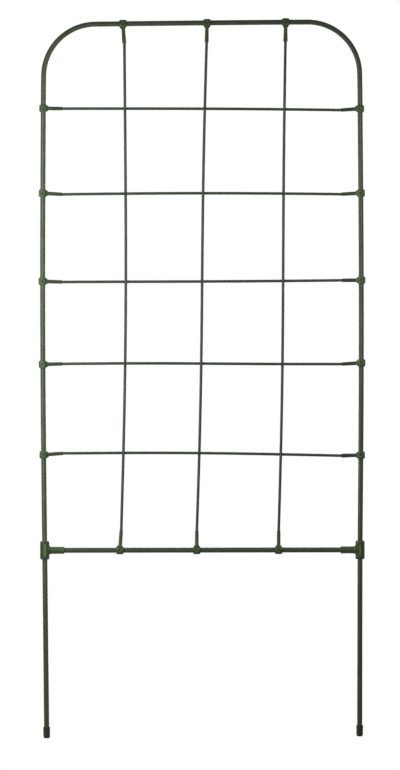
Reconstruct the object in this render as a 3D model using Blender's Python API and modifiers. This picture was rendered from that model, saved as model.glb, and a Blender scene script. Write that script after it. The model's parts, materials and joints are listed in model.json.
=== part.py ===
"""Garden plant trellis that comes apart: a bent tube arch on two leg stakes, a lower bar between two
tee connectors, and a woven grid of thin rods whose ends sit in clips snapped onto the tubes.

Metres, +Z up. X runs along the width and -Y is the front. The origin lies midway between the legs
at the soil line, the depth to which the stakes are pushed in.
"""

import math
from typing import NamedTuple

import bmesh
import bpy
from mathutils import Matrix, Vector

MM = 0.001

# Coated steel stock
TUBE_DIAMETER = 8.0 * MM
TUBE_WALL = 0.9 * MM
ROD_DIAMETER = 4.4 * MM

# Lower bar and legs
BAR_HEIGHT = 84.0 * MM
TEE_SPAN = 474.4 * MM
LEG_LENGTH = 275.0 * MM
LEFT_LEG_LEAN = 2.5 * MM
RIGHT_LEG_LEAN = 0.9 * MM

# Arch: one tube bent into two uprights and a top rail, its height measured above the lower bar
ARCH_HEIGHT = 793.0 * MM
TOP_FLARE = 1.2 * MM
CORNER_RADIUS = 78.5 * MM
UPRIGHT_BOW = 2.2 * MM

# Fits
TUBE_CLEARANCE = 0.3 * MM
ROD_CLEARANCE = 0.25 * MM
END_GAP = 0.3 * MM
WEAVE_GAP = 0.3 * MM
# How far the arch's right end and the left leg stand off the stops in their tees
ARCH_SLIP = 4.0 * MM
LEG_SLIP = 2.1 * MM

# Tee connector
TEE_HEIGHT = 28.0 * MM
TEE_WALL = 2.8 * MM
TEE_STOP = 2.6 * MM
TEE_ROUND_WIDTH = 1.6 * MM
TEE_ROUND_LENGTH = 3.2 * MM
BRANCH_REACH = 29.4 * MM
BRANCH_WALL = 1.1 * MM
BRANCH_SEAT = 18.0 * MM
BRANCH_EDGE = 0.3 * MM
BRANCH_SWELL = 0.8 * MM
BRANCH_SWELL_END = 12.5 * MM
PANEL_WIDTH = 6.4 * MM
PANEL_MARGIN = 3.2 * MM
PANEL_DEPTH = 1.2 * MM

# Snap clip
COLLAR_LENGTH = 11.4 * MM
COLLAR_WALL = 1.7 * MM
COLLAR_ROUND = 2.4 * MM
MOUTH_HALF_ANGLE = math.radians(42)
LIP_REACH = 0.3 * MM
LIP_THICKNESS = 1.1 * MM
SHOULDER_PLACE = 4.0 * MM
NECK_LENGTH = 1.8 * MM
NECK_STEP = 0.15 * MM
NECK_HALF_ANGLE = math.radians(40)
SOCKET_FLOOR = 1.6 * MM
SLEEVE_WALL = 0.4 * MM
SLEEVE_REACH = 23.0 * MM
FLARE_LENGTH = 15.0 * MM
MOUTH_LIP = 3.0 * MM
MOUTH_TAPER = 0.2 * MM
SPLIT_WIDTH = 0.9 * MM
SPLIT_LENGTH = 14.5 * MM
DIMPLE_DIAMETER = 4.6 * MM
DIMPLE_DEPTH = 0.9 * MM

# Foot cap
CAP_LENGTH = 17.0 * MM
CAP_WALL = 0.75 * MM
CAP_TIP = 4.0 * MM
CAP_FLAT_DIAMETER = 5.0 * MM
CAP_RIM_HEIGHT = 0.25 * MM
CAP_RIM_WIDTH = 3.0 * MM

# Facets
TUBE_SIDES = 16
BORE_SIDES = 12
ROD_SIDES = 8
SLEEVE_SIDES = 12
UPRIGHT_STEPS = 8
CORNER_STEPS = 9
SPAN_STEPS = 5
COLLAR_STEPS = 12
ROUND_STEPS = 3
CROSSING_PASSES = 4
CREASE = math.radians(50)
# A cutter runs this far past what it cuts
CUT_PAST = 0.5 * MM
WELD = 0.001 * MM


class Rod(NamedTuple):
    """A thin rod: how far its first and last clip sit off the grid's even spacing, how far their
    sleeves' mouths lean off them, how far the rod bows and sways between the mouths, and how far
    each split sleeve spreads."""

    start: float
    end: float
    start_lean: float
    end_lean: float
    bow: float
    sway: float
    start_spread: float
    end_spread: float


# As the grid was laid by hand. Rows, top row first, run left to right
ROWS_AS_LAID = (
    Rod(4.3 * MM, 3.0 * MM, -0.5 * MM, -2.0 * MM, 0.9 * MM, -0.1 * MM, 0.0 * MM, 0.0 * MM),
    Rod(8.6 * MM, 8.2 * MM, -1.6 * MM, -1.6 * MM, 1.5 * MM, 0.0 * MM, 0.0 * MM, 0.0 * MM),
    Rod(8.3 * MM, 9.3 * MM, -1.0 * MM, -0.2 * MM, -0.5 * MM, 0.1 * MM, 0.0 * MM, 0.0 * MM),
    Rod(15.5 * MM, 17.0 * MM, 0.7 * MM, -1.7 * MM, 0.6 * MM, 0.4 * MM, 0.0 * MM, 0.0 * MM),
    Rod(11.7 * MM, 10.4 * MM, 2.0 * MM, -0.8 * MM, 2.1 * MM, 0.1 * MM, 0.0 * MM, 0.9 * MM),
)
# Columns, left column first, run top to bottom
COLUMNS_AS_LAID = (
    Rod(0.5 * MM, -5.3 * MM, 2.2 * MM, 2.1 * MM, 4.5 * MM, -0.4 * MM, 1.0 * MM, 0.0 * MM),
    Rod(8.2 * MM, -8.5 * MM, -0.6 * MM, 0.2 * MM, 0.5 * MM, -1.3 * MM, 0.8 * MM, 0.0 * MM),
    Rod(7.7 * MM, -4.2 * MM, -0.4 * MM, 0.2 * MM, 1.5 * MM, -1.0 * MM, 1.5 * MM, 0.0 * MM),
)


def spaced(rods, first, last):
    """The rods with each clip's place worked out: its own drift off an even spacing between two
    limits."""
    step = (last - first) / (len(rods) + 1)
    places = [first + step * number for number in range(1, len(rods) + 1)]
    return [rod._replace(start=at + rod.start, end=at + rod.end) for rod, at in zip(rods, places)]


# Finishes: name, colour, roughness
COATED_TUBE = ("coated_tube", (0.058, 0.075, 0.052), 0.36)
COATED_ROD = ("coated_rod", (0.047, 0.058, 0.043), 0.38)
MOULDED_GREEN = ("moulded_green", (0.062, 0.088, 0.047), 0.45)
CAP_DARK_GREEN = ("cap_dark_green", (0.024, 0.030, 0.022), 0.5)

# Sizes that follow from those above
TOP_SPAN = TEE_SPAN + TOP_FLARE
ROWS = spaced(ROWS_AS_LAID, ARCH_HEIGHT, 0)
COLUMNS = spaced(COLUMNS_AS_LAID, -TOP_SPAN / 2, TOP_SPAN / 2)
TUBE_RADIUS = TUBE_DIAMETER / 2
ROD_RADIUS = ROD_DIAMETER / 2
TUBE_BORE = TUBE_RADIUS + TUBE_CLEARANCE
ROD_BORE = ROD_RADIUS + ROD_CLEARANCE
FULL_SEAT = (TEE_HEIGHT - TEE_STOP) / 2 - END_GAP
TEE_RADIUS = TUBE_BORE + TEE_WALL
COLLAR_RADIUS = TUBE_BORE + COLLAR_WALL
SLEEVE_RADIUS = ROD_BORE + SLEEVE_WALL
NECK_END = COLLAR_RADIUS + NECK_LENGTH
NECK_HALF = SLEEVE_RADIUS + NECK_STEP
SOCKET_BOTTOM = TUBE_BORE + SOCKET_FLOOR
SLEEVE_END = COLLAR_RADIUS + SLEEVE_REACH
# A rod's end stands this share of the way from its clip's tube to the sleeve's mouth
SEATED_SHARE = (SOCKET_BOTTOM + END_GAP) / SLEEVE_END
WEAVE_SWING = (ROD_DIAMETER + WEAVE_GAP) / 2

FACING_FRONT = Matrix.Rotation(math.radians(90), 4, "X")
ALONG_X = Matrix.Rotation(math.radians(90), 4, "Y")
TURNED_BACK = Matrix.Rotation(math.pi, 4, "Z")
# A clip on a level tube: its sleeve hangs down from the rail, or stands up from the lower bar
SLEEVE_DOWN = Matrix.Rotation(math.radians(90), 4, "Y")
SLEEVE_UP = Matrix.Rotation(math.pi, 4, "X") @ SLEEVE_DOWN


def clear_scene():
    for obj in list(bpy.data.objects):
        bpy.data.objects.remove(obj, do_unlink=True)


def new_collection(name):
    collection = bpy.data.collections.new(name)
    bpy.context.scene.collection.children.link(collection)
    return collection


def helper(name, data, matrix=None):
    """A construction object, left out of the finished trellis."""
    obj = bpy.data.objects.new(name, data)
    construction.objects.link(obj)
    obj.hide_render = True
    obj.display_type = "WIRE"
    obj.matrix_world = matrix or Matrix.Identity(4)
    return obj


def material(name, colour, roughness):
    """One Principled BSDF finish, made once for each name."""
    found = bpy.data.materials.get(name)
    if found:
        return found
    made = bpy.data.materials.new(name)
    made.use_nodes = True
    shader = made.node_tree.nodes["Principled BSDF"]
    shader.inputs["Base Color"].default_value = (*colour, 1)
    shader.inputs["Roughness"].default_value = roughness
    shader.inputs["Metallic"].default_value = 0.0
    return made


def welded_mesh(obj):
    """The object's modelled mesh, in place and with its seams welded. The object is removed."""
    bpy.context.view_layer.update()
    graph = bpy.context.evaluated_depsgraph_get()
    mesh = bpy.data.meshes.new_from_object(obj.evaluated_get(graph))
    mesh.transform(obj.matrix_world)
    shape = bmesh.new()
    shape.from_mesh(mesh)
    bmesh.ops.remove_doubles(shape, verts=shape.verts, dist=WELD)
    bmesh.ops.recalc_face_normals(shape, faces=shape.faces)
    shape.to_mesh(mesh)
    shape.free()
    bpy.data.objects.remove(obj, do_unlink=True)
    return mesh


def carved(base, steps):
    """The base mesh after each (operation, mesh) Boolean step."""
    obj = helper("base", base)
    tools = []
    for operation, mesh in steps:
        tool = helper("tool", mesh)
        modifier = obj.modifiers.new(operation.lower(), "BOOLEAN")
        modifier.operation = operation
        modifier.solver = "EXACT"
        modifier.object = tool
        tools.append(tool)
    mesh = welded_mesh(obj)
    for tool in tools:
        bpy.data.objects.remove(tool, do_unlink=True)
    return mesh


def round_bar(points, radius, sides):
    """A round solid along the points: a curve with a bevel and filled caps."""
    data = bpy.data.curves.new("bar", "CURVE")
    data.dimensions = "3D"
    data.bevel_depth = radius
    data.bevel_resolution = (sides - 4) // 2
    data.use_fill_caps = True
    spline = data.splines.new("POLY")
    spline.points.add(len(points) - 1)
    for place, point in zip(spline.points, points):
        place.co = (*point, 1)
    return welded_mesh(helper("bar", data))


def lengthened(points, extra):
    """The same path with each end run on by the extra length."""
    first = points[0] + (points[0] - points[1]).normalized() * extra
    last = points[-1] + (points[-1] - points[-2]).normalized() * extra
    return [first, *points[1:-1], last]


def hollow_tube(points):
    """A steel tube along the points, open at both ends."""
    outer = round_bar(points, TUBE_RADIUS, TUBE_SIDES)
    bore = round_bar(lengthened(points, CUT_PAST), TUBE_RADIUS - TUBE_WALL, BORE_SIDES)
    return carved(outer, [("DIFFERENCE", bore)])


def turned(profile, sides, matrix=None):
    """A turned solid about Z from its (radius, height) profile, top to bottom."""
    mesh = bpy.data.meshes.new("turned")
    points = [(radius, 0, height) for radius, height in profile]
    edges = [(i, i + 1) for i in range(len(points) - 1)]
    mesh.from_pydata(points, edges, [])
    obj = helper("turned", mesh, matrix)
    screw = obj.modifiers.new("turn", "SCREW")
    screw.steps = sides
    screw.render_steps = sides
    screw.use_merge_vertices = True
    screw.merge_threshold = WELD
    return welded_mesh(obj)


def peg(radius, low, high, sides, matrix=None):
    """A cylinder about Z between two heights."""
    mesh = bpy.data.meshes.new("peg")
    shape = bmesh.new()
    middle = Matrix.Translation((0, 0, (low + high) / 2))
    place = (matrix or Matrix.Identity(4)) @ middle
    bmesh.ops.create_cone(
        shape,
        cap_ends=True,
        segments=sides,
        radius1=radius,
        radius2=radius,
        depth=high - low,
        matrix=place,
    )
    shape.to_mesh(mesh)
    shape.free()
    return mesh


def block(low, high, matrix):
    """A box between two corners."""
    low = Vector(low)
    high = Vector(high)
    mesh = bpy.data.meshes.new("block")
    shape = bmesh.new()
    place = Matrix.Translation((low + high) / 2) @ Matrix.Diagonal((*(high - low), 1))
    bmesh.ops.create_cube(shape, size=1, matrix=matrix @ place)
    shape.to_mesh(mesh)
    shape.free()
    return mesh


def plate(points, thickness, matrix=None):
    """A flat outline of the given thickness, centred on its own plane."""
    data = bpy.data.curves.new("plate", "CURVE")
    data.dimensions = "2D"
    data.fill_mode = "BOTH"
    data.extrude = thickness / 2
    spline = data.splines.new("POLY")
    spline.points.add(len(points) - 1)
    for place, (x, y) in zip(spline.points, points):
        place.co = (x, y, 0, 1)
    spline.use_cyclic_u = True
    return welded_mesh(helper("plate", data, matrix))


def arc(centre, radii, start, end, steps):
    """Points of an upright ellipse's arc in a plane, both ends included."""
    angles = [start + (end - start) * i / steps for i in range(steps + 1)]
    return [(centre[0] + radii[0] * math.cos(a), centre[1] + radii[1] * math.sin(a)) for a in angles]


def rounded_rectangle(low, high, radius, steps):
    """Outline of a rectangle with round corners, counter-clockwise."""
    corners = (
        (high[0] - radius, high[1] - radius),
        (low[0] + radius, high[1] - radius),
        (low[0] + radius, low[1] + radius),
        (high[0] - radius, low[1] + radius),
    )
    points = []
    for turn, corner in enumerate(corners):
        start = turn * math.pi / 2
        points += arc(corner, (radius, radius), start, start + math.pi / 2, steps)
    return points


def upright_x(side, height):
    """Axis of the left (-1) or right (1) upright at a height above the lower bar."""
    share = min(max(height / (ARCH_HEIGHT - CORNER_RADIUS), 0), 1)
    half = (TEE_SPAN + TOP_FLARE * share) / 2
    return side * (half + UPRIGHT_BOW * math.sin(math.pi * share))


def rail_z(x):
    """Axis of the top rail above the soil line. It climbs to the right, where the arch slipped."""
    return BAR_HEIGHT + ARCH_HEIGHT + ARCH_SLIP * x / TOP_SPAN


def upright_path(side, seat):
    """Points up one upright, from its end in the tee to just below the corner."""
    low = TEE_HEIGHT / 2 - seat
    high = rail_z(side * TOP_SPAN / 2) - BAR_HEIGHT - CORNER_RADIUS
    heights = [low + (high - low) * i / UPRIGHT_STEPS for i in range(UPRIGHT_STEPS)]
    return [Vector((upright_x(side, z), 0, BAR_HEIGHT + z)) for z in heights]


def corner_path(side):
    """Points round one top corner, from the upright to the rail."""
    climb = math.atan2(ARCH_SLIP, TOP_SPAN)
    centre_x = side * (TOP_SPAN / 2 - CORNER_RADIUS)
    centre_z = rail_z(centre_x) - CORNER_RADIUS / math.cos(climb)
    start = 0 if side > 0 else math.pi
    end = math.pi / 2 + climb
    radii = (CORNER_RADIUS, CORNER_RADIUS)
    return [Vector((x, 0, z)) for x, z in arc((centre_x, centre_z), radii, start, end, CORNER_STEPS)]


def make_arch():
    left = upright_path(-1, FULL_SEAT) + corner_path(-1)
    right = upright_path(1, FULL_SEAT - ARCH_SLIP) + corner_path(1)
    return hollow_tube(left + right[::-1])


def make_lower_bar():
    half = TEE_SPAN / 2 - (BRANCH_REACH - BRANCH_SEAT) - END_GAP
    return hollow_tube([Vector((-half, 0, BAR_HEIGHT)), Vector((half, 0, BAR_HEIGHT))])


def make_tee():
    """Tee at its own origin: the tubes meet a stop along Z, and the branch leaves along +X."""
    half = TEE_HEIGHT / 2
    rounding = (TEE_ROUND_WIDTH, TEE_ROUND_LENGTH)
    shoulder = (TEE_RADIUS - TEE_ROUND_WIDTH, half - TEE_ROUND_LENGTH)
    top = arc(shoulder, rounding, math.pi / 2, 0, ROUND_STEPS)
    bottom = [(radius, -height) for radius, height in top[::-1]]
    barrel = turned([(0, half), *top, *bottom, (0, -half)], TUBE_SIDES)

    skin = TUBE_BORE + BRANCH_WALL
    branch = [
        (0, BRANCH_REACH),
        (skin - BRANCH_EDGE, BRANCH_REACH),
        (skin, BRANCH_REACH - BRANCH_EDGE),
        (skin, BRANCH_SWELL_END),
        (skin + BRANCH_SWELL, 0),
        (0, 0),
    ]

    stop = TEE_STOP / 2
    seat = BRANCH_REACH - BRANCH_SEAT
    steps = [
        ("UNION", turned(branch, TUBE_SIDES, ALONG_X)),
        ("DIFFERENCE", peg(TUBE_BORE, stop, half + CUT_PAST, TUBE_SIDES)),
        ("DIFFERENCE", peg(TUBE_BORE, -half - CUT_PAST, -stop, TUBE_SIDES)),
        ("DIFFERENCE", peg(TUBE_BORE, seat, BRANCH_REACH + CUT_PAST, TUBE_SIDES, ALONG_X)),
    ]
    corner = Vector((PANEL_WIDTH, TEE_HEIGHT - 2 * PANEL_MARGIN)) / 2
    panel = rounded_rectangle(-corner, corner, PANEL_WIDTH / 2 - WELD, ROUND_STEPS)
    for front in (-1, 1):
        place = Matrix.Translation((0, front * TEE_RADIUS, 0)) @ FACING_FRONT
        steps.append(("DIFFERENCE", plate(panel, 2 * PANEL_DEPTH, place)))
    return carved(barrel, steps)


def tee_place(side):
    """Where a tee sits: level with the lower bar, its branch facing inward."""
    place = Matrix.Translation((side * TEE_SPAN / 2, 0, BAR_HEIGHT))
    return place @ TURNED_BACK if side > 0 else place


def leg_line(side, seat, lean):
    """Top and foot of one leg's axis. It leans inward towards its foot."""
    top = Vector((side * TEE_SPAN / 2, 0, BAR_HEIGHT - TEE_HEIGHT / 2 + seat))
    return top, top + Vector((-side * lean, 0, -LEG_LENGTH))


def make_foot_cap(top, foot):
    """Cap pushed over the foot of a leg: a sleeve with a rim, closed by a blunt flat-ended tip."""
    floor = -END_GAP
    skin = TUBE_BORE + CAP_WALL
    rim = floor + CAP_LENGTH - CAP_TIP
    edge = skin + CAP_RIM_HEIGHT
    flat = CAP_FLAT_DIAMETER / 2
    tip = arc((flat, floor), (skin - flat, CAP_TIP), 0, -math.pi / 2, ROUND_STEPS)
    profile = [
        (0, floor),
        (TUBE_BORE, floor),
        (TUBE_BORE, rim),
        (skin, rim),
        (edge, rim - CAP_RIM_HEIGHT),
        (edge, rim - CAP_RIM_WIDTH),
        (skin, rim - CAP_RIM_WIDTH - CAP_RIM_HEIGHT),
        *tip,
        (0, floor - CAP_TIP),
    ]
    turn = Vector((0, 0, 1)).rotation_difference(top - foot).to_matrix().to_4x4()
    return turned(profile, TUBE_SIDES, Matrix.Translation(foot) @ turn)


def collar_outline():
    """C-shaped collar seen along the tube: its mouth opens at -X and the neck leaves at +X."""
    opening = math.pi - MOUTH_HALF_ANGLE
    lip_root = opening - LIP_THICKNESS / COLLAR_RADIUS
    outer = arc((0, 0), (COLLAR_RADIUS, COLLAR_RADIUS), NECK_HALF_ANGLE, lip_root, COLLAR_STEPS // 2)
    tip_x = -COLLAR_RADIUS - LIP_REACH
    tip_y = COLLAR_RADIUS * math.sin(lip_root) + LIP_REACH
    half = [(NECK_END, NECK_HALF), *outer, (tip_x, tip_y), (tip_x, tip_y - LIP_THICKNESS)]
    inner = arc((0, 0), (TUBE_BORE, TUBE_BORE), opening, -opening, COLLAR_STEPS)
    return half + inner + [(x, -y) for x, y in half[::-1]]


def front_outline():
    """Clip seen from the front: a block with round outer corners that tapers to the neck."""
    half = COLLAR_LENGTH / 2
    edge = -COLLAR_RADIUS - LIP_REACH - CUT_PAST
    corner = (edge + CUT_PAST + COLLAR_ROUND, half - COLLAR_ROUND)
    upper = [(edge, half - COLLAR_ROUND)]
    upper += arc(corner, (COLLAR_ROUND, COLLAR_ROUND), math.pi, math.pi / 2, ROUND_STEPS)
    upper += [(SHOULDER_PLACE, half), (NECK_END, NECK_HALF), (NECK_END + CUT_PAST, NECK_HALF)]
    return upper + [(x, -y) for x, y in upper[::-1]]


def sleeve_skin(spread):
    """(radius, place) points of the sleeve's skin, from its mouth back to the socket's floor."""
    mouth = SLEEVE_RADIUS + spread / 2
    return [
        (mouth - MOUTH_TAPER * spread / ROD_DIAMETER, SLEEVE_END),
        (mouth, SLEEVE_END - MOUTH_LIP),
        (SLEEVE_RADIUS, SLEEVE_END - FLARE_LENGTH),
        (SLEEVE_RADIUS, SOCKET_BOTTOM),
    ]


def make_clip(lean, spread):
    """Clip at its own origin: the tube runs along Z, and the rod's split sleeve leaves along +X,
    its mouth leaning towards +Z."""
    leaning = Matrix.Rotation(-math.asin(lean / SLEEVE_END), 4, "Y")
    skin = sleeve_skin(spread)
    sleeve = [(0, SLEEVE_END), *skin, (0, SOCKET_BOTTOM)]
    bore = [(radius - SLEEVE_WALL, place) for radius, place in skin]
    past = SLEEVE_END + CUT_PAST
    hole = [(0, past), (bore[0][0], past), *bore[1:], (0, SOCKET_BOTTOM)]
    split_low = (SLEEVE_END - SPLIT_LENGTH, -COLLAR_RADIUS, -SPLIT_WIDTH / 2)
    split_high = (past, COLLAR_RADIUS, SPLIT_WIDTH / 2)
    steps = [
        ("INTERSECT", plate(front_outline(), 4 * COLLAR_RADIUS, FACING_FRONT)),
        ("UNION", turned(sleeve, SLEEVE_SIDES, leaning @ ALONG_X)),
        ("DIFFERENCE", turned(hole, SLEEVE_SIDES, leaning @ ALONG_X)),
        ("DIFFERENCE", block(split_low, split_high, leaning)),
    ]
    radius = DIMPLE_DIAMETER / 2
    for low in (-COLLAR_RADIUS - CUT_PAST, COLLAR_RADIUS - DIMPLE_DEPTH):
        high = low + DIMPLE_DEPTH + CUT_PAST
        steps.append(("DIFFERENCE", peg(radius, low, high, SLEEVE_SIDES, FACING_FRONT)))
    return carved(plate(collar_outline(), COLLAR_LENGTH + 2 * CUT_PAST), steps)


def row_clips(rod):
    """Middle of a row's left and right clip, on the axes of the uprights."""
    left = Vector((upright_x(-1, rod.start), 0, BAR_HEIGHT + rod.start))
    right = Vector((upright_x(1, rod.end), 0, BAR_HEIGHT + rod.end))
    return left, right


def column_clips(rod):
    """Middle of a column's top and bottom clip, on the axes of the rail and the lower bar."""
    return Vector((rod.start, 0, rail_z(rod.start))), Vector((rod.end, 0, BAR_HEIGHT))


def sleeve_run(lean):
    """How far a sleeve's mouth stands out from its tube's axis when it leans sideways."""
    return math.sqrt(SLEEVE_END**2 - lean**2)


def row_run(rod):
    """X at which a row leaves its left sleeve and enters its right one."""
    left, right = row_clips(rod)
    return left.x + sleeve_run(rod.start_lean), right.x - sleeve_run(rod.end_lean)


def column_run(rod):
    """Z at which a column leaves its top sleeve and enters its bottom one."""
    top, bottom = column_clips(rod)
    return top.z - sleeve_run(rod.start_lean), bottom.z + sleeve_run(rod.end_lean)


def lay(rod, run, place):
    """Where a rod's axis stands in the plane of the grid, at a place along its free run."""
    share = (place - run[0]) / (run[1] - run[0])
    near = rod.start + rod.start_lean
    far = rod.end + rod.end_lean
    bend = rod.bow * math.sin(math.pi * share) + rod.sway * math.sin(2 * math.pi * share)
    return near + (far - near) * share + bend


def crossing(row, column):
    """X and Z at which a row and a column cross, seen from the front."""
    x = column.start
    z = BAR_HEIGHT + row.start
    for _ in range(CROSSING_PASSES):
        z = BAR_HEIGHT + lay(row, row_run(row), x)
        x = lay(column, column_run(column), z)
    return x, z


def column_side(row_index, column_index):
    """-1 where the column passes in front of the row, 1 where it passes behind. They alternate."""
    return -1 if (row_index + column_index) % 2 == 0 else 1


def woven(knots):
    """(place, depth) points from the first knot to the last, swinging smoothly between them."""
    points = []
    for (a, depth_a), (b, depth_b) in zip(knots, knots[1:]):
        for i in range(SPAN_STEPS):
            share = i / SPAN_STEPS
            swing = (1 - math.cos(math.pi * share)) / 2
            points.append((a + (b - a) * share, depth_a + (depth_b - depth_a) * swing))
    return [*points, knots[-1]]


def seated(path, clips):
    """A free run with both ends led straight down their sleeves to the socket floors."""
    first, last = clips
    return [first.lerp(path[0], SEATED_SHARE), *path, last.lerp(path[-1], SEATED_SHARE)]


def row_path(row_index):
    """Axis of a horizontal rod, from one clip's socket floor to the other's."""
    rod = ROWS[row_index]
    run = row_run(rod)
    knots = [(run[0], 0.0)]
    for column_index, column in enumerate(COLUMNS):
        x, _ = crossing(rod, column)
        knots.append((x, -column_side(row_index, column_index) * WEAVE_SWING))
    knots.append((run[1], 0.0))
    free = [Vector((x, y, BAR_HEIGHT + lay(rod, run, x))) for x, y in woven(knots)]
    return seated(free, row_clips(rod))


def column_path(column_index):
    """Axis of a vertical rod, from one clip's socket floor to the other's."""
    rod = COLUMNS[column_index]
    run = column_run(rod)
    knots = [(run[0], 0.0)]
    for row_index, row in enumerate(ROWS):
        _, z = crossing(row, rod)
        knots.append((z, column_side(row_index, column_index) * WEAVE_SWING))
    knots.append((run[1], 0.0))
    free = [Vector((lay(rod, run, z), y, z)) for z, y in woven(knots)]
    return seated(free, column_clips(rod))


def add_part(name, mesh, finish, matrix=None):
    """One finished piece in the trellis collection."""
    mesh.materials.clear()
    mesh.materials.append(material(*finish))
    mesh.shade_smooth()
    mesh.set_sharp_from_angle(angle=CREASE)
    obj = bpy.data.objects.new(name, mesh)
    trellis.objects.link(obj)
    obj.matrix_world = matrix or Matrix.Identity(4)


def add_frame():
    add_part("frame_arch", make_arch(), COATED_TUBE)
    add_part("lower_bar", make_lower_bar(), COATED_TUBE)
    tee = make_tee()
    sides = (
        ("left", -1, FULL_SEAT - LEG_SLIP, LEFT_LEG_LEAN),
        ("right", 1, FULL_SEAT, RIGHT_LEG_LEAN),
    )
    for name, side, seat, lean in sides:
        top, foot = leg_line(side, seat, lean)
        add_part(f"{name}_tee", tee, MOULDED_GREEN, tee_place(side))
        add_part(f"{name}_leg", hollow_tube([top, foot]), COATED_TUBE)
        add_part(f"{name}_foot_cap", make_foot_cap(top, foot), CAP_DARK_GREEN)


def add_clips():
    kinds = (
        ("left", "right", ROWS, row_clips, Matrix.Identity(4), TURNED_BACK),
        ("top", "bottom", COLUMNS, column_clips, SLEEVE_DOWN, SLEEVE_UP),
    )
    for first, last, rods, clips_of, first_turn, last_turn in kinds:
        for number, rod in enumerate(rods, 1):
            near, far = clips_of(rod)
            clips = (
                (first, rod.start_lean, rod.start_spread, Matrix.Translation(near) @ first_turn),
                (last, rod.end_lean, rod.end_spread, Matrix.Translation(far) @ last_turn),
            )
            for side, lean, spread, place in clips:
                add_part(f"{side}_clip_{number}", make_clip(lean, spread), MOULDED_GREEN, place)


def add_rods():
    paths = [(f"row_rod_{i + 1}", row_path(i)) for i in range(len(ROWS))]
    paths += [(f"column_rod_{i + 1}", column_path(i)) for i in range(len(COLUMNS))]
    for name, path in paths:
        add_part(name, round_bar(path, ROD_RADIUS, ROD_SIDES), COATED_ROD)


clear_scene()
construction = new_collection("construction")
construction.hide_render = True
trellis = new_collection("plant_trellis")
add_frame()
add_clips()
add_rods()
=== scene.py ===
"""Looks of a garden trellis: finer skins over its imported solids, their finishes, light and camera.

Metres, +Z up, -Y is the front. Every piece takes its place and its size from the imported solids.
"""

import json
import math

import bmesh
import bpy
from mathutils import Matrix, Vector, noise

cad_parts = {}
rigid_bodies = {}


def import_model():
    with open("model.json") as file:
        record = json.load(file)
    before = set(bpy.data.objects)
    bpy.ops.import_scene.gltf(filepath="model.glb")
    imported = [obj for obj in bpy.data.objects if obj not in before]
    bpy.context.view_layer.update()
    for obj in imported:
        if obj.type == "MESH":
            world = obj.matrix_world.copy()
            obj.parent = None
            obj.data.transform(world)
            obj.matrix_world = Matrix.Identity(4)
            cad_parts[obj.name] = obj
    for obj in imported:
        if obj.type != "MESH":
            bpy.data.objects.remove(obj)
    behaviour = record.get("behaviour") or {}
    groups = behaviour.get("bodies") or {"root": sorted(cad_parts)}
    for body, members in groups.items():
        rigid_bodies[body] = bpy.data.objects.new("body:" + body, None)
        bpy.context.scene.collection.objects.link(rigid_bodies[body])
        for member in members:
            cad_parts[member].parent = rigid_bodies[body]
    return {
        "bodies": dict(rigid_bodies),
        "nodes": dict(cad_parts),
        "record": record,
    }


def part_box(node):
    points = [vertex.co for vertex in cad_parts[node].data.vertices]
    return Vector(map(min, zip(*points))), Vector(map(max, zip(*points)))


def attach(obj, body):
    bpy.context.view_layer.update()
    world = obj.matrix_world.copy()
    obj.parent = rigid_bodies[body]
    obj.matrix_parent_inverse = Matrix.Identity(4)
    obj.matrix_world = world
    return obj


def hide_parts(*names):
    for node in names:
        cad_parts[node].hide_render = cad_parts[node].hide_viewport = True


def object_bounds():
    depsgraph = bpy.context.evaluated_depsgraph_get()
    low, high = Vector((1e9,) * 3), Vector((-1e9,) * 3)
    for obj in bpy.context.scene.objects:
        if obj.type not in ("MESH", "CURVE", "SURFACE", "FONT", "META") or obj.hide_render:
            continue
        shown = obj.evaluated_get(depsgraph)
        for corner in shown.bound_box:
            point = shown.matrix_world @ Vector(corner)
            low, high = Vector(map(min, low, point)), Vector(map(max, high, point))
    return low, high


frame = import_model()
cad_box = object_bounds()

MM = 0.001
BODY = next(iter(frame["bodies"]))
SLOTS = {part["node"]: part["material_slot"] for part in frame["record"]["subparts"]}

# Tubes and rods: a bar has a ring of points at about every step, and a bore at every sixth of them
TUBE_WALL = 0.9 * MM
TUBE_SIDES = 32
TUBE_STEP = 2.0 * MM
ROD_SIDES = 20
ROD_STEP = 2.5 * MM
CUT_ROUND = 0.25 * MM
BORE_EVERY = 6
# Unevenness of the plastic coat: how deep and how wide its broad waves and its finer grain are
COAT_DEPTH = 0.07 * MM
COAT_WAVE = 5.0 * MM
GRAIN_DEPTH = 0.03 * MM
GRAIN_WAVE = 1.9 * MM

# Fits in the moulded pieces
TUBE_CLEARANCE = 0.3 * MM
ROD_CLEARANCE = 0.25 * MM

# Tee
TEE_ROUND_WIDTH = 1.6 * MM
TEE_ROUND_LENGTH = 3.2 * MM
TEE_STOP = 2.6 * MM
BRANCH_WALL = 1.1 * MM
BRANCH_SEAT = 18.0 * MM
BRANCH_SWELL = 0.8 * MM
BRANCH_SWELL_END = 12.5 * MM
BRANCH_FILLET = 2.6 * MM
BRANCH_RING = 0.25 * MM
BRANCH_RING_PLACE = 26.6 * MM
BRANCH_RING_LENGTH = 1.3 * MM
PANEL_WIDTH = 6.4 * MM
PANEL_MARGIN = 3.2 * MM
PANEL_DEPTH = 0.7 * MM
GROOVE_WIDTH = 0.9 * MM
GROOVE_DEPTH = 1.6 * MM
TEE_SIDES = 48

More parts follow.
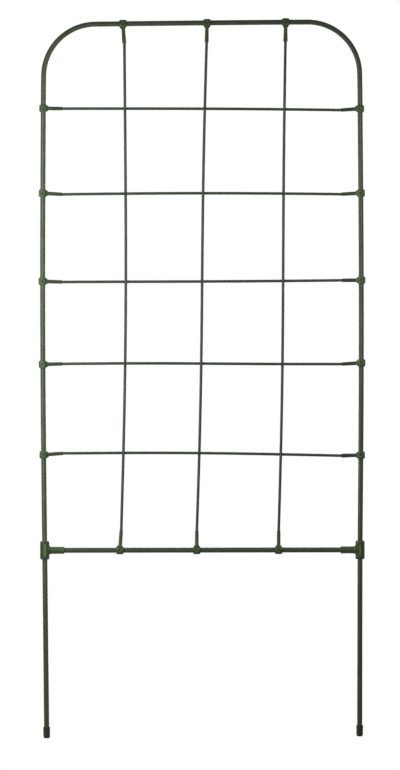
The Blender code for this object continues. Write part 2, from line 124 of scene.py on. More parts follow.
# Snap clip, whose back lies CLIP_BACK behind the middle of its tube
CLIP_BACK = 6.3 * MM
COLLAR_WALL = 1.7 * MM
COLLAR_ROUND = 2.4 * MM
COLLAR_EDGE = 0.3 * MM
MOUTH_HALF_ANGLE = math.radians(42)
LIP_REACH = 0.3 * MM
LIP_THICKNESS = 1.1 * MM
SHOULDER_PLACE = 4.0 * MM
NECK_LENGTH = 1.8 * MM
NECK_STEP = 0.15 * MM
NECK_HALF_ANGLE = math.radians(40)
SOCKET_FLOOR = 1.6 * MM
SLEEVE_WALL = 0.4 * MM
FLARE_LENGTH = 15.0 * MM
MOUTH_LIP = 3.0 * MM
MOUTH_ROUND = 0.15 * MM
SPLIT_WIDTH = 0.9 * MM
SPLIT_LENGTH = 14.5 * MM
DIMPLE_DIAMETER = 4.4 * MM
DIMPLE_FLOOR_DIAMETER = 2.0 * MM
DIMPLE_DEPTH = 1.3 * MM
DIMPLE_RIM = 0.8 * MM
DIMPLE_RIM_HEIGHT = 0.35 * MM
SLEEVE_SIDES = 32
COLLAR_STEPS = 20

# Foot cap
CAP_LENGTH = 17.0 * MM
CAP_WALL = 0.75 * MM
CAP_TIP = 4.0 * MM
CAP_FLAT_DIAMETER = 5.0 * MM
CAP_RIM_HEIGHT = 0.25 * MM
CAP_RIM_WIDTH = 3.0 * MM
CAP_RIM_STEPS = 3
CAP_SIDES = 40

# Painted light on the moulded pieces: how much darker (painted shade) or lighter (painted highlight,
# below 0) their colour is in places
# Sleeves: painted shade on the level sleeves of the side clips, and a painted sheen on the upright
# sleeves of the top clips
SLEEVE_PAINTED_LIGHT = {"left": 0.45, "right": 0.5, "top": -0.1, "bottom": 0.0}
# Dimple: painted shade on its floor and a painted highlight on its ring; painted shade on the rest of
# the collar
DIMPLE_FLOOR_PAINTED_SHADE = 0.85
DIMPLE_RING_PAINTED_HIGHLIGHT = -0.6
COLLAR_PAINTED_SHADE = 0.25
# Tee: a painted highlight on its sunk panel, and painted shade in the groove, on the branch and on the
# barrel
PANEL_PAINTED_HIGHLIGHT = -0.4
GROOVE_PAINTED_SHADE = 0.75
BRANCH_PAINTED_SHADE = 0.1
BARREL_PAINTED_SHADE = 0.3

# Finish of the plastic: the noise of its clouds of colour, and where they are dark, middle and light
CLOUD_DETAIL = 4
CLOUD_ROUGHNESS = 0.55
CLOUD_DARK = 0.3
CLOUD_MIDDLE = 0.5
CLOUD_LIGHT = 0.72
# The noise of its grain, and how that shows as light specks, as gloss and as relief
GRAIN_DETAIL = 3
GRAIN_ROUGHNESS = 0.65
SPECK_FROM = 0.62
SPECK_FULL = 0.78
SPECK_SHARE = 0.35
GLOSS_FROM = 0.35
GLOSS_FULL = 0.7
SMOOTHER = 0.06
ROUGHER = 0.1
BUMP_STRENGTH = 0.15
BUMP_DISTANCE = 0.1 * MM
# Rubbed edges, lighter also as a painted highlight: how pointed they start and end, how much of them
# shows, and how much lighter they are
WEAR_HIGHLIGHT_FROM = 0.53
WEAR_HIGHLIGHT_FULL = 0.62
WEAR_HIGHLIGHT_SHARE = 0.5
WEAR_HIGHLIGHT_LIGHTENING = 1.5

# Making of shapes: the steps of a round corner and of a bevel, the least angle that stays a sharp
# edge, how far a cut runs past its surface, the width of a closed seam, and how near a bar's end a
# point still counts as part of the end
ROUND_STEPS = 6
BEVEL_STEPS = 2
CREASE = math.radians(38)
CUT_PAST = 0.5 * MM
WELD = 0.001 * MM
END_DEPTH = 0.5 * MM

# Turns: a plate stands up, a bar lies along +X, and each clip's sleeve points into the grid
FACING_FRONT = Matrix.Rotation(math.radians(90), 4, "X")
ALONG_X = Matrix.Rotation(math.radians(90), 4, "Y")
TURNED_BACK = Matrix.Rotation(math.pi, 4, "Z")
SLEEVE_DOWN = Matrix.Rotation(math.radians(90), 4, "Y")
SLEEVE_UP = Matrix.Rotation(math.pi, 4, "X") @ SLEEVE_DOWN
CLIP_TURNS = {"left": Matrix.Identity(4), "right": TURNED_BACK, "top": SLEEVE_DOWN, "bottom": SLEEVE_UP}

# The view: the photograph is 400 x 770 pixels, each PIXEL wide on the trellis, and looks square at
# the front, level, from far off
PHOTO_HEIGHT = 770
PIXEL = 1.505 * MM
VIEW_CENTRE = Vector((-3.2 * MM, 0, 332.4 * MM))
VIEW_ROLL = 0.00155
VIEW_DISTANCE = 4.0
VIEW_NEAREST = 0.1
VIEW_FURTHEST = 20

# The floor: its reach, how far it lies under the feet, how pale and rough it is, and what the camera
# sees of it without any light
FLOOR_RADIUS = 8.0
FLOOR_SIDES = 96
FLOOR_DROP = 1 * MM
FLOOR_LEVEL = 0.38
FLOOR_ROUGHNESS = 0.9
FLOOR_GLOW = 0.6

# The light: its level from all round, and each lamp's name, place, (width, height), watts and target
AMBIENT = 0.08
LAMPS = (
    ("key", (-0.46, -0.45, 0.41), (0.3, 0.76), 6.3, (-0.3, 0, 0.2)),
    ("fill", (0.38, -0.43, 0.56), (0.2, 0.5), 1.95, (0.17, 0, 0.34)),
    ("crown", (-0.2, -0.35, 0.78), (0.4, 0.1), 0.4, (-0.15, 0, 0.88)),
    ("back", (0, 1.5, 0.5), (1.2, 1.2), 18, (0, 0, 0.4)),
)


def node_points(node):
    """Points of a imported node's mesh."""
    return [vert.co for vert in frame["nodes"][node].data.vertices]


def corners(points):
    """Lowest and highest corner of the box round some points."""
    low = Vector(min(point[i] for point in points) for i in range(3))
    high = Vector(max(point[i] for point in points) for i in range(3))
    return low, high


def cross_sections(node, way):
    """Centres of a bar's cross-sections, walked along its solid from the end that lies that way."""
    shape = bmesh.new()
    shape.from_mesh(frame["nodes"][node].data)
    bmesh.ops.remove_doubles(shape, verts=shape.verts, dist=WELD)
    shape.verts.index_update()
    way = Vector(way)
    furthest = max(vert.co.dot(way) for vert in shape.verts)
    ring = [vert for vert in shape.verts if vert.co.dot(way) > furthest - END_DEPTH]
    seen = {vert.index for vert in ring}
    centres = []
    while ring:
        centres.append(sum((vert.co for vert in ring), Vector()) / len(ring))
        near = {edge.other_vert(vert) for vert in ring for edge in vert.link_edges}
        ring = sorted((vert for vert in near if vert.index not in seen), key=lambda vert: vert.index)
        seen |= {vert.index for vert in ring}
    shape.free()
    return centres


def end_radius(node, way):
    """Radius of a bar's solid, read at the end that lies that way."""
    points = node_points(node)
    furthest = max(point.dot(Vector(way)) for point in points)
    ring = [point for point in points if point.dot(Vector(way)) > furthest - END_DEPTH]
    centre = cross_sections(node, way)[0]
    return max((point - centre).length for point in ring)


def smoothed(points, step):
    """A smooth path through the points, with a new point at about every step."""
    heads = [(b - a).normalized() for a, b in zip([points[0], *points[:-1]], [*points[1:], points[-1]])]
    path = []
    for i in range(len(points) - 1):
        a = points[i]
        b = points[i + 1]
        length = (b - a).length
        count = max(round(length / step), 1)
        for j in range(count):
            t = j / count
            near = (1 + 2 * t) * (1 - t) ** 2
            path.append(
                a * near
                + heads[i] * (length * t * (1 - t) ** 2)
                + b * (1 - near)
                - heads[i + 1] * (length * t * t * (1 - t))
            )
    return [*path, points[-1]]


def ring_frames(path):
    """(centre, side, front) at each point of a path that runs near the plane of the grid."""
    frames = []
    for i, centre in enumerate(path):
        ahead = (path[min(i + 1, len(path) - 1)] - path[max(i - 1, 0)]).normalized()
        front = Vector((0, -1, 0))
        front = (front - ahead * front.dot(ahead)).normalized()
        frames.append((centre, ahead.cross(front), front))
    return frames


def coat_dip(point):
    """How far the coat lies in from its full radius: broad waves with a finer grain on them."""
    wave = 0.5 - 0.5 * noise.noise(point / COAT_WAVE)
    grain = 0.5 - 0.5 * noise.noise(point / GRAIN_WAVE)
    return COAT_DEPTH * wave + GRAIN_DEPTH * grain


def ring_points(section, radius, sides, coated):
    """Points round one cross-section of a bar."""
    centre, side, front = section
    points = []
    for i in range(sides):
        angle = 2 * math.pi * i / sides
        out = side * math.cos(angle) + front * math.sin(angle)
        point = centre + out * radius
        points.append(point - out * coat_dip(point) if coated else point)
    return points


def lofted(rings, closed):
    """A mesh through rings of points. It closes on itself, or it has a flat face at each end."""
    sides = len(rings[0])
    count = len(rings)
    faces = []
    for i in range(count if closed else count - 1):
        low = i * sides
        high = (i + 1) % count * sides
        for j in range(sides):
            k = (j + 1) % sides
            faces.append((low + j, low + k, high + k, high + j))
    if not closed:
        faces.append(tuple(range(sides))[::-1])
        faces.append(tuple(range((count - 1) * sides, count * sides)))
    mesh = bpy.data.meshes.new("loft")
    mesh.from_pydata([point for ring in rings for point in ring], [], faces)
    return oriented(mesh)


def oriented(mesh):
    """The mesh with its faces turned outward."""
    shape = bmesh.new()
    shape.from_mesh(mesh)
    bmesh.ops.recalc_face_normals(shape, faces=shape.faces)
    shape.to_mesh(mesh)
    shape.free()
    return mesh


def bar_rings(path, radius, sides):
    """Rings along a coated bar with its cut edges rounded."""
    frames = ring_frames(path)
    first = path[0].lerp(path[1], CUT_ROUND / (path[1] - path[0]).length)
    last = path[-1].lerp(path[-2], CUT_ROUND / (path[-2] - path[-1]).length)
    rings = [ring_points(frames[0], radius - CUT_ROUND, sides, False)]
    rings.append(ring_points((first, *frames[0][1:]), radius, sides, True))
    rings += [ring_points(section, radius, sides, True) for section in frames[1:-1]]
    rings.append(ring_points((last, *frames[-1][1:]), radius, sides, True))
    rings.append(ring_points(frames[-1], radius - CUT_ROUND, sides, False))
    return rings


def tube_mesh(path, radius):
    """A coated tube with its bore, open at both ends."""
    inner = path[::-1]
    inner = [inner[0], *inner[BORE_EVERY:-BORE_EVERY:BORE_EVERY], inner[-1]]
    frames = ring_frames(inner)
    bore = [(centre, -side, front) for centre, side, front in frames]
    rings = bar_rings(path, radius, TUBE_SIDES)
    rings += [ring_points(section, radius - TUBE_WALL, TUBE_SIDES, False) for section in bore]
    return lofted(rings, True)


def rod_mesh(path, radius):
    """A solid coated rod."""
    return lofted(bar_rings(path, radius, ROD_SIDES), False)


def helper(data, matrix=None):
    """A construction object, gone again once its mesh is read."""
    obj = bpy.data.objects.new("helper", data)
    bpy.context.scene.collection.objects.link(obj)
    obj.matrix_world = matrix or Matrix.Identity(4)
    return obj


def modelled(obj):
    """The object's mesh with its modifiers, in place and with its seams welded."""
    bpy.context.view_layer.update()
    graph = bpy.context.evaluated_depsgraph_get()
    mesh = bpy.data.meshes.new_from_object(obj.evaluated_get(graph))
    mesh.transform(obj.matrix_world)
    shape = bmesh.new()
    shape.from_mesh(mesh)
    bmesh.ops.remove_doubles(shape, verts=shape.verts, dist=WELD)
    bmesh.ops.recalc_face_normals(shape, faces=shape.faces)
    shape.to_mesh(mesh)
    shape.free()
    bpy.data.objects.remove(obj, do_unlink=True)
    return mesh


def carved(base, steps):
    """The base mesh after each (operation, mesh) Boolean step."""
    obj = helper(base)
    tools = []
    for operation, mesh in steps:
        tool = helper(mesh)
        modifier = obj.modifiers.new(operation.lower(), "BOOLEAN")
        modifier.operation = operation
        modifier.solver = "EXACT"
        modifier.object = tool
        tools.append(tool)
    mesh = modelled(obj)
    for tool in tools:
        bpy.data.objects.remove(tool, do_unlink=True)
    return mesh


def with_painted_light(mesh, rule):
    """The mesh with each face's painted light written down, painted shade above 0 and painted highlight
    below 0, by a rule that goes by the face's middle.
    """
    layer = mesh.attributes.new("painted_light", "FLOAT", "FACE")
    for face, entry in zip(mesh.polygons, layer.data):
        entry.value = rule(face.center)
    return mesh


def edge_rounded(mesh, width):
    """The mesh with its sharp edges rounded."""
    obj = helper(mesh)
    bevel = obj.modifiers.new("bevel", "BEVEL")
    bevel.width = width
    bevel.segments = BEVEL_STEPS
    bevel.limit_method = "ANGLE"
    bevel.angle_limit = CREASE
    return modelled(obj)


def turned(profile, sides, matrix=None):
    """A turned solid about Z from its (radius, height) profile, top to bottom."""
    mesh = bpy.data.meshes.new("turned")
    points = [(radius, 0, height) for radius, height in profile]
    mesh.from_pydata(points, [(i, i + 1) for i in range(len(points) - 1)], [])
    obj = helper(mesh, matrix)
    screw = obj.modifiers.new("turn", "SCREW")
    screw.steps = sides
    screw.render_steps = sides
    screw.use_merge_vertices = True
    screw.merge_threshold = WELD
    return modelled(obj)


def block(low, high, matrix):
    """A box between two corners, to cut with."""
    low = Vector(low)
    high = Vector(high)
    mesh = bpy.data.meshes.new("block")
    shape = bmesh.new()
    place = Matrix.Translation((low + high) / 2) @ Matrix.Diagonal((*(high - low), 1))
    bmesh.ops.create_cube(shape, size=1, matrix=matrix @ place)
    shape.to_mesh(mesh)
    shape.free()
    return mesh


def plate(points, thickness, matrix=None):
    """A flat outline of the given thickness, centred on its own plane."""
    data = bpy.data.curves.new("plate", "CURVE")
    data.dimensions = "2D"
    data.fill_mode = "BOTH"
    data.extrude = thickness / 2
    spline = data.splines.new("POLY")
    spline.points.add(len(points) - 1)
    for place, (x, y) in zip(spline.points, points):
        place.co = (x, y, 0, 1)
    spline.use_cyclic_u = True
    return modelled(helper(data, matrix))


def arc(centre, radii, start, end, steps):
    """Points along an ellipse between two angles, both ends included."""
    angles = [start + (end - start) * i / steps for i in range(steps + 1)]
    return [(centre[0] + radii[0] * math.cos(a), centre[1] + radii[1] * math.sin(a)) for a in angles]


def rounded_rectangle(half_width, half_height, radius):
    """Outline of a rectangle with round corners about the middle, counter-clockwise."""
    points = []
    for turn, (x, y) in enumerate(((1, 1), (-1, 1), (-1, -1), (1, -1))):
        corner = (x * (half_width - radius), y * (half_height - radius))
        start = turn * math.pi / 2
        points += arc(corner, (radius, radius), start, start + math.pi / 2, ROUND_STEPS)
    return points


def panel_steps(width, height, place):
    """Cuts for a sunk panel with round ends and a deeper groove all round it. The plates lie half
    above the surface, so each is twice as thick as its cut is deep, or more."""
    edge = rounded_rectangle(width / 2, height / 2, width / 2 - WELD)
    half = width / 2 - GROOVE_WIDTH
    land = rounded_rectangle(half, height / 2 - GROOVE_WIDTH, half - WELD)
    groove = carved(
        plate(edge, 2 * GROOVE_DEPTH, place),
        [("DIFFERENCE", plate(land, 3 * GROOVE_DEPTH, place))],
    )
    return [("DIFFERENCE", plate(edge, 2 * PANEL_DEPTH, place)), ("DIFFERENCE", groove)]


def tee_mesh(height, radius, reach, tube_radius):
    """Tee at its own origin: the tubes meet a stop along Z, and the branch leaves along +X."""
    half = height / 2
    rounding = (TEE_ROUND_WIDTH, TEE_ROUND_LENGTH)
    shoulder = (radius - TEE_ROUND_WIDTH, half - TEE_ROUND_LENGTH)
    top = arc(shoulder, rounding, math.pi / 2, 0, ROUND_STEPS)
    bottom = [(place, -level) for place, level in top[::-1]]
    barrel = turned([(0, half), *top, *bottom, (0, -half)], TEE_SIDES)

    bore = tube_radius + TUBE_CLEARANCE
    skin = bore + BRANCH_WALL
    ring = skin + BRANCH_RING
    ring_end = BRANCH_RING_PLACE + BRANCH_RING_LENGTH
    swell = skin + BRANCH_SWELL * (1 - (radius + BRANCH_FILLET) / BRANCH_SWELL_END)
    # The branch takes the outer half of this fillet, and from there runs straight into the barrel
    fillet = arc(
        (radius + BRANCH_FILLET, swell + BRANCH_FILLET),
        (BRANCH_FILLET, BRANCH_FILLET),
        -math.pi / 2,
        -math.pi,
        ROUND_STEPS,
    )
    branch = [
        (0, reach),
        (skin - CUT_ROUND, reach),
        (skin, reach - CUT_ROUND),
        (skin, ring_end + BRANCH_RING),
        (ring, ring_end),
        (ring, BRANCH_RING_PLACE),
        (skin, BRANCH_RING_PLACE - BRANCH_RING),
        (skin, BRANCH_SWELL_END),
        *[(place, level) for level, place in fillet[: ROUND_STEPS // 2 + 1]],
        (fillet[ROUND_STEPS // 2][1], 0),
        (0, 0),
    ]
    stop = TEE_STOP / 2

    def hollow(start, end):
        """Profile of a bore between two levels."""
        return [(0, start), (bore, start), (bore, end), (0, end)]

    steps = [
        ("UNION", turned(branch, TEE_SIDES, ALONG_X)),
        ("DIFFERENCE", turned(hollow(half + CUT_PAST, stop), TEE_SIDES)),
        ("DIFFERENCE", turned(hollow(-stop, -half - CUT_PAST), TEE_SIDES)),
        ("DIFFERENCE", turned(hollow(reach + CUT_PAST, reach - BRANCH_SEAT), TEE_SIDES, ALONG_X)),
    ]
    panel_height = height - 2 * PANEL_MARGIN
    for front in (-1, 1):
        place = Matrix.Translation((0, front * radius, 0)) @ FACING_FRONT
        steps += panel_steps(PANEL_WIDTH, panel_height, place)

    def painted_light(middle):
        """Painted light of the face with this middle: a painted highlight on the panel, and painted
        shade in its groove, on the branch and on the barrel.
        """
        off = math.hypot(middle.x, max(abs(middle.z) - (panel_height - PANEL_WIDTH) / 2, 0))
        if abs(middle.x) > radius:
            return BRANCH_PAINTED_SHADE
        uncut = math.hypot(middle.x, middle.y) > radius - CUT_ROUND / 2
        if uncut or off > PANEL_WIDTH / 2 + WELD or abs(middle.y) < bore + WELD:
            return BARREL_PAINTED_SHADE
        return GROOVE_PAINTED_SHADE if off > PANEL_WIDTH / 2 - GROOVE_WIDTH - CUT_ROUND / 2 else PANEL_PAINTED_HIGHLIGHT

    return with_painted_light(carved(barrel, steps), painted_light)


def collar_outline(skin):
    """Upper half of a C-shaped collar seen along the tube, whose mouth opens at -X: the end of its
    neck at +X, its outer arc, the tip of its lip, and the angle at which the mouth opens."""
    neck_end = skin + NECK_LENGTH
    opening = math.pi - MOUTH_HALF_ANGLE
    lip_root = opening - LIP_THICKNESS / skin
    outer = arc((0, 0), (skin, skin), NECK_HALF_ANGLE, lip_root, COLLAR_STEPS)
    tip_x = -skin - LIP_REACH
    tip_y = skin * math.sin(lip_root) + LIP_REACH
    return neck_end, outer, (tip_x, tip_y), opening


def clip_mesh(length, tube_radius, rod_radius, mouth, mouth_radius, sleeve_painted_light):
    """Clip at its own origin: the tube runs along Z, and the rod's split sleeve leaves along +X and
    ends at the mouth's middle."""
    bore = tube_radius + TUBE_CLEARANCE
    skin = bore + COLLAR_WALL
    sleeve_radius = rod_radius + ROD_CLEARANCE + SLEEVE_WALL
    neck_half = sleeve_radius + NECK_STEP
    neck_end, outer, tip, opening = collar_outline(skin)
    half_c = [(neck_end, neck_half), *outer, tip, (tip[0], tip[1] - LIP_THICKNESS)]
    inner = arc((0, 0), (bore, bore), opening, -opening, 2 * COLLAR_STEPS)
    section = half_c + inner + [(x, -y) for x, y in half_c[::-1]]

    half = length / 2
    edge = tip[0] - CUT_PAST
    corner = (tip[0] + COLLAR_ROUND, half - COLLAR_ROUND)
    upper = [(edge, half - COLLAR_ROUND)]
    upper += arc(corner, (COLLAR_ROUND, COLLAR_ROUND), math.pi, math.pi / 2, ROUND_STEPS)
    upper += [(SHOULDER_PLACE, half), (neck_end, neck_half), (neck_end + CUT_PAST, neck_half)]
    front = upper + [(x, -y) for x, y in upper[::-1]]
    across = 4 * skin
    collar = carved(
        plate(section, length + 2 * CUT_PAST),
        [("INTERSECT", plate(front, across, FACING_FRONT))],
    )
    collar = edge_rounded(collar, COLLAR_EDGE)

    reach = mouth.length
    leaning = Matrix.Rotation(-math.atan2(mouth.z, mouth.x), 4, "Y")
    floor = bore + SOCKET_FLOOR
    skin_line = [
        (mouth_radius, reach - MOUTH_ROUND),
        (mouth_radius, reach - MOUTH_LIP),
        (sleeve_radius, reach - FLARE_LENGTH),
        (sleeve_radius, floor),
    ]
    sleeve = [(0, reach), (mouth_radius - MOUTH_ROUND, reach), *skin_line, (0, floor)]
    past = reach + CUT_PAST
    hollow = [(place - SLEEVE_WALL, level) for place, level in skin_line]
    hole = [(0, past), (hollow[0][0], past), *hollow[1:], (0, floor)]
    split_low = (reach - SPLIT_LENGTH, -skin, -SPLIT_WIDTH / 2)
    split_high = (past, skin, SPLIT_WIDTH / 2)
    radius = DIMPLE_DIAMETER / 2
    rim = radius + DIMPLE_RIM
    rounding = DIMPLE_RIM / 3
    proud = skin + DIMPLE_RIM_HEIGHT
    root = bore + COLLAR_WALL / 2
    boss = [(0, proud), (rim - rounding, proud), (rim, proud - rounding), (rim, root), (0, root)]
    dip = [
        (0, proud + CUT_PAST),
        (radius + rounding, proud + CUT_PAST),
        (radius + rounding, proud),
        (radius, proud - rounding),
        (DIMPLE_FLOOR_DIAMETER / 2, skin - DIMPLE_DEPTH),
        (0, skin - DIMPLE_DEPTH),
    ]
    faces = [Matrix.Rotation(facing * math.pi / 2, 4, "X") for facing in (1, -1)]
    steps = [("UNION", turned(sleeve, SLEEVE_SIDES, leaning @ ALONG_X))]
    steps += [("UNION", turned(boss, SLEEVE_SIDES, turn)) for turn in faces]
    steps.append(("DIFFERENCE", turned(hole, SLEEVE_SIDES, leaning @ ALONG_X)))
    steps.append(("DIFFERENCE", block(split_low, split_high, leaning)))
    steps += [("DIFFERENCE", turned(dip, SLEEVE_SIDES, turn)) for turn in faces]

    def painted_light(middle):
        """Painted light of the face with this middle: painted shade or a painted sheen on the sleeve,
        painted shade on the collar and on the dimple's floor, and a painted highlight on the dimple's
        ring.
        """
        off = math.hypot(middle.x, middle.z)
        if middle.x > neck_end:
            return sleeve_painted_light
        if off > rim or abs(middle.y) < skin - DIMPLE_DEPTH - WELD:
            return COLLAR_PAINTED_SHADE
        return DIMPLE_FLOOR_PAINTED_SHADE if off < DIMPLE_FLOOR_DIAMETER / 2 else DIMPLE_RING_PAINTED_HIGHLIGHT

    return with_painted_light(carved(collar, steps), painted_light)


def cap_mesh(foot, ahead, tube_radius, gap):
    """Cap over the foot of a leg: a sleeve with a rim, closed by a blunt flat-ended tip. Its floor
    lies a gap below the foot."""
    bore = tube_radius + TUBE_CLEARANCE
    floor = -gap
    skin = bore + CAP_WALL
    rim = floor + CAP_LENGTH - CAP_TIP
    edge = skin + CAP_RIM_HEIGHT
    flat = CAP_FLAT_DIAMETER / 2
    tip = arc((flat, floor), (skin - flat, CAP_TIP), 0, -math.pi / 2, 2 * ROUND_STEPS)
    rounding = (CAP_RIM_HEIGHT, CAP_RIM_HEIGHT)
    rounded = arc((skin, rim - CAP_RIM_HEIGHT), rounding, math.pi / 2, 0, CAP_RIM_STEPS)
    profile = [
        (0, floor),
        (bore, floor),
        (bore, rim - CAP_RIM_HEIGHT),
        (bore + CAP_RIM_HEIGHT, rim),
        (skin, rim),
        *rounded[1:],
        (edge, rim - CAP_RIM_WIDTH),
        (skin, rim - CAP_RIM_WIDTH - CAP_RIM_HEIGHT),
        *tip,
        (0, floor - CAP_TIP),
    ]
    turn = Vector((0, 0, 1)).rotation_difference(-ahead).to_matrix().to_4x4()
    return turned(profile, CAP_SIDES, Matrix.Translation(foot) @ turn)


def new_node(tree, kind, **values):
    """A shader node of a kind, with its settings."""
    node = tree.nodes.new(kind)
    for name, value in values.items():
        setattr(node, name, value)
    return node


def noise_node(tree, place, scale, detail, roughness):
    """A 3D noise over the piece, its scale in waves per metre."""
    node = new_node(tree, "ShaderNodeTexNoise", noise_dimensions="3D")
    node.inputs["Scale"].default_value = scale
    node.inputs["Detail"].default_value = detail
    node.inputs["Roughness"].default_value = roughness
    tree.links.new(place, node.inputs["Vector"])
    return node.outputs["Fac"]


def ramp_node(tree, value, stops):
    """A colour ramp over the value, from (place, colour) stops."""
    node = new_node(tree, "ShaderNodeValToRGB")
    ramp = node.color_ramp
    while len(ramp.elements) < len(stops):
        ramp.elements.new(stops[1][0])
    for element, (place, colour) in zip(ramp.elements, stops):
        element.position = place
        element.color = (*colour, 1)
    tree.links.new(value, node.inputs["Fac"])
    return node.outputs["Color"]


def range_node(tree, value, low, high, to_low, to_high):
    """The value, with low to high mapped to to_low to to_high and held at its ends."""
    node = new_node(tree, "ShaderNodeMapRange")
    node.inputs["From Min"].default_value = low
    node.inputs["From Max"].default_value = high
    node.inputs["To Min"].default_value = to_low
    node.inputs["To Max"].default_value = to_high
    tree.links.new(value, node.inputs["Value"])
    return node.outputs["Result"]


def mix_node(tree, share, colour, other):
    """The colour with a share of another, plain one mixed in."""
    node = new_node(tree, "ShaderNodeMix", data_type="RGBA")
    tree.links.new(share, node.inputs["Factor"])
    tree.links.new(colour, node.inputs["A"])
    node.inputs["B"].default_value = (*other, 1)
    return node.outputs["Result"]


def coated_finish(name, dark, middle, light, rough, specular, clouds, grains):
    """A green plastic finish: clouded colour, rubbed edges made lighter with a painted highlight,
    uneven gloss and a fine grain. A face's painted light makes it lighter as a painted highlight, down
    to -1 for twice the colour, or darker as painted shade, up to 1 for black."""
    made = bpy.data.materials.new(name)
    made.use_nodes = True
    tree = made.node_tree
    shader = tree.nodes["Principled BSDF"]
    place = new_node(tree, "ShaderNodeTexCoord").outputs["Object"]
    cloud = noise_node(tree, place, clouds, CLOUD_DETAIL, CLOUD_ROUGHNESS)
    grain = noise_node(tree, place, grains, GRAIN_DETAIL, GRAIN_ROUGHNESS)
    stops = ((CLOUD_DARK, dark), (CLOUD_MIDDLE, middle), (CLOUD_LIGHT, light))
    colour = ramp_node(tree, cloud, stops)
    speck = range_node(tree, grain, SPECK_FROM, SPECK_FULL, 0, SPECK_SHARE)
    colour = mix_node(tree, speck, colour, light)
    # Pointed edges are lighter: rubbed edges, with a painted highlight on them
    edge = new_node(tree, "ShaderNodeNewGeometry").outputs["Pointiness"]
    worn_and_highlit = range_node(tree, edge, WEAR_HIGHLIGHT_FROM, WEAR_HIGHLIGHT_FULL, 0, WEAR_HIGHLIGHT_SHARE)
    colour = mix_node(tree, worn_and_highlit, colour, tuple(WEAR_HIGHLIGHT_LIGHTENING * channel for channel in light))
    # Each face's painted shade or painted highlight scales the colour
    painted_light = new_node(tree, "ShaderNodeAttribute", attribute_name="painted_light").outputs["Fac"]
    toned = new_node(tree, "ShaderNodeVectorMath", operation="SCALE")
    tree.links.new(colour, toned.inputs["Vector"])
    tree.links.new(range_node(tree, painted_light, -1, 1, 2, 0), toned.inputs["Scale"])
    tree.links.new(toned.outputs["Vector"], shader.inputs["Base Color"])
    gloss = range_node(tree, grain, GLOSS_FROM, GLOSS_FULL, rough - SMOOTHER, rough + ROUGHER)
    tree.links.new(gloss, shader.inputs["Roughness"])
    shader.inputs["Specular IOR Level"].default_value = specular
    dent = new_node(tree, "ShaderNodeBump")
    dent.inputs["Strength"].default_value = BUMP_STRENGTH
    dent.inputs["Distance"].default_value = BUMP_DISTANCE
    tree.links.new(grain, dent.inputs["Height"])
    tree.links.new(dent.outputs["Normal"], shader.inputs["Normal"])
    return made


# The finish of each slot, with its clouds and grains in waves per metre
COATS = {
    "coated_tube": {
        "name": "tube_green",
        "dark": (0.027, 0.038, 0.019),
        "middle": (0.034, 0.048, 0.025),
        "light": (0.043, 0.060, 0.032),
        "rough": 0.27,
        "specular": 0.21,
        "clouds": 60,
        "grains": 500,
    },
    "coated_rod": {
        "name": "rod_green",
        "dark": (0.024, 0.030, 0.018),
        "middle": (0.030, 0.037, 0.023),
        "light": (0.037, 0.046, 0.030),
        "rough": 0.34,
        "specular": 0.2,
        "clouds": 80,
        "grains": 600,
    },
    "moulded_green": {
        "name": "leaf_green",
        "dark": (0.025, 0.042, 0.013),
        "middle": (0.034, 0.057, 0.018),
        "light": (0.047, 0.075, 0.027),
        "rough": 0.36,
        "specular": 0.22,
        "clouds": 160,
        "grains": 900,
    },
    "foot_cap": {
        "name": "black_green",
        "dark": (0.019, 0.026, 0.014),
        "middle": (0.027, 0.036, 0.020),
        "light": (0.037, 0.048, 0.028),
        "rough": 0.45,
        "specular": 0.1,
        "clouds": 160,
        "grains": 900,
    },
}
FINISHES = {slot: coated_finish(**coat) for slot, coat in COATS.items()}


def add_piece(node, mesh):
    """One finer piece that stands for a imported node."""
    mesh.materials.clear()
    mesh.materials.append(FINISHES[SLOTS[node]])
    mesh.shade_smooth()
    mesh.set_sharp_from_angle(angle=CREASE)
    obj = bpy.data.objects.new(f"{node}_skin", mesh)
    bpy.context.scene.collection.objects.link(obj)
    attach(obj, BODY)
    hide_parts(node)


def add_tubes():
    """Coated tubes over the arch, the lower bar and the legs. Returns the tubes' radius."""
    ends = {
        "frame_arch": (0, 0, -1),
        "lower_bar": (-1, 0, 0),
        "left_leg": (0, 0, 1),
        "right_leg": (0, 0, 1),
    }
    low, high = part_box("lower_bar")
    radius = (high.z - low.z) / 2
    for node, way in ends.items():
        add_piece(node, tube_mesh(smoothed(cross_sections(node, way), TUBE_STEP), radius))
    return radius


def add_rods():
    """Thin rods over the rows and columns. Returns the rods' radius."""
    for node in sorted(SLOTS):
        if SLOTS[node] != "coated_rod":
            continue
        way = (-1, 0, 0) if node.startswith("row") else (0, 0, 1)
        radius = end_radius(node, way)
        add_piece(node, rod_mesh(smoothed(cross_sections(node, way), ROD_STEP), radius))
    return radius


def add_tees(tube_radius):
    """Tees between the arch, the legs and the lower bar, each with its branch towards the other."""
    for node in ("left_tee", "right_tee"):
        low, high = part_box(node)
        radius = (high.y - low.y) / 2
        side = -1 if node == "left_tee" else 1
        outer = low.x if side < 0 else high.x
        reach = high.x - low.x - radius
        mesh = tee_mesh(high.z - low.z, radius, reach, tube_radius)
        place = Matrix.Translation((outer - side * radius, 0, (low.z + high.z) / 2))
        mesh.transform(place @ TURNED_BACK if side > 0 else place)
        add_piece(node, mesh)


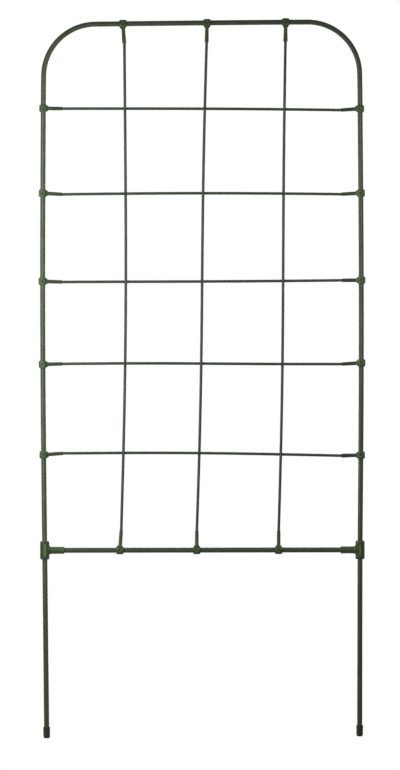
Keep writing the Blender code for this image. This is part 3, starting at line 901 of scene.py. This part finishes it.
def add_clips(tube_radius, rod_radius):
    """Clips round the tubes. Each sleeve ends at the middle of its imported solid's mouth."""
    for node in sorted(SLOTS):
        side = node.split("_clip_")[0]
        if side == node:
            continue
        turn = CLIP_TURNS[side]
        points = [turn.inverted() @ point for point in node_points(node)]
        low, high = corners(points)
        origin = Vector((low.x + CLIP_BACK, 0, (low.z + high.z) / 2))
        brim_low, brim_high = corners([point for point in points if point.x > high.x - END_DEPTH])
        mouth = (brim_low + brim_high) / 2 - origin
        mouth_radius = (brim_high.y - brim_low.y) / 2
        mouth.y = 0
        height = high.z - low.z
        mesh = clip_mesh(height, tube_radius, rod_radius, mouth, mouth_radius, SLEEVE_PAINTED_LIGHT[side])
        mesh.transform(turn @ Matrix.Translation(origin))
        add_piece(node, mesh)


def add_caps(tube_radius):
    """Caps over the feet, along the lean of each leg."""
    for side in ("left", "right"):
        top, *_, foot = cross_sections(f"{side}_leg", (0, 0, 1))
        ahead = (foot - top).normalized()
        tip = max((point - foot).dot(ahead) for point in node_points(f"{side}_foot_cap"))
        add_piece(f"{side}_foot_cap", cap_mesh(foot, ahead, tube_radius, tip - CAP_TIP))


def add_light(name, place, size, watts, target):
    """A soft oblong lamp of a (width, height) that faces a target."""
    data = bpy.data.lights.new(name, "AREA")
    data.shape = "RECTANGLE"
    data.size, data.size_y = size
    data.energy = watts
    obj = bpy.data.objects.new(name, data)
    obj.visible_camera = False
    obj.location = place
    obj.rotation_euler = (Vector(place) - Vector(target)).to_track_quat("Z", "Y").to_euler()
    bpy.context.scene.collection.objects.link(obj)


def seen_directly(tree):
    """1 for what the camera sees, also by way of a reflection or through glass, and 0 for light."""
    path = new_node(tree, "ShaderNodeLightPath")
    seen = path.outputs["Is Camera Ray"]
    for output in ("Is Glossy Ray", "Is Transmission Ray"):
        either = new_node(tree, "ShaderNodeMath", operation="MAXIMUM")
        tree.links.new(seen, either.inputs[0])
        tree.links.new(path.outputs[output], either.inputs[1])
        seen = either.outputs[0]
    return seen


def add_world():
    """A white surround for the camera and for reflections, and plain soft light on the trellis."""
    world = bpy.data.worlds.new("studio")
    world.use_nodes = True
    tree = world.node_tree
    background = tree.nodes["Background"]
    background.inputs["Color"].default_value = (1, 1, 1, 1)
    strength = range_node(tree, seen_directly(tree), 0, 1, AMBIENT, 1)
    tree.links.new(strength, background.inputs["Strength"])
    bpy.context.scene.world = world


def add_floor():
    """A plain pale floor under the feet."""
    mesh = bpy.data.meshes.new("floor")
    shape = bmesh.new()
    bmesh.ops.create_circle(shape, cap_ends=True, segments=FLOOR_SIDES, radius=FLOOR_RADIUS)
    shape.to_mesh(mesh)
    shape.free()
    made = bpy.data.materials.new("pale_floor")
    made.use_nodes = True
    tree = made.node_tree
    shader = tree.nodes["Principled BSDF"]
    shader.inputs["Base Color"].default_value = (FLOOR_LEVEL, FLOOR_LEVEL, FLOOR_LEVEL, 1)
    shader.inputs["Roughness"].default_value = FLOOR_ROUGHNESS
    shader.inputs["Specular IOR Level"].default_value = 0
    shader.inputs["Emission Color"].default_value = (1, 1, 1, 1)
    glow = range_node(tree, seen_directly(tree), 0, 1, 0, FLOOR_GLOW)
    tree.links.new(glow, shader.inputs["Emission Strength"])
    mesh.materials.append(made)
    obj = bpy.data.objects.new("floor", mesh)
    obj.location = (0, 0, cad_box[0].z - FLOOR_DROP)
    bpy.context.scene.collection.objects.link(obj)


def add_camera():
    """Square on to the front from far off, turned by the photograph's tiny tilt."""
    data = bpy.data.cameras.new("camera")
    data.type = "ORTHO"
    data.ortho_scale = PHOTO_HEIGHT * PIXEL
    data.clip_start = VIEW_NEAREST
    data.clip_end = VIEW_FURTHEST
    obj = bpy.data.objects.new("camera", data)
    obj.location = VIEW_CENTRE - Vector((0, VIEW_DISTANCE, 0))
    obj.rotation_euler = (math.pi / 2, VIEW_ROLL, 0)
    bpy.context.scene.collection.objects.link(obj)
    bpy.context.scene.camera = obj


tube_radius = add_tubes()
rod_radius = add_rods()
add_tees(tube_radius)
add_clips(tube_radius, rod_radius)
add_caps(tube_radius)

add_camera()
add_floor()
add_world()
for lamp in LAMPS:
    add_light(*lamp)
bpy.context.scene.view_settings.view_transform = "Standard"
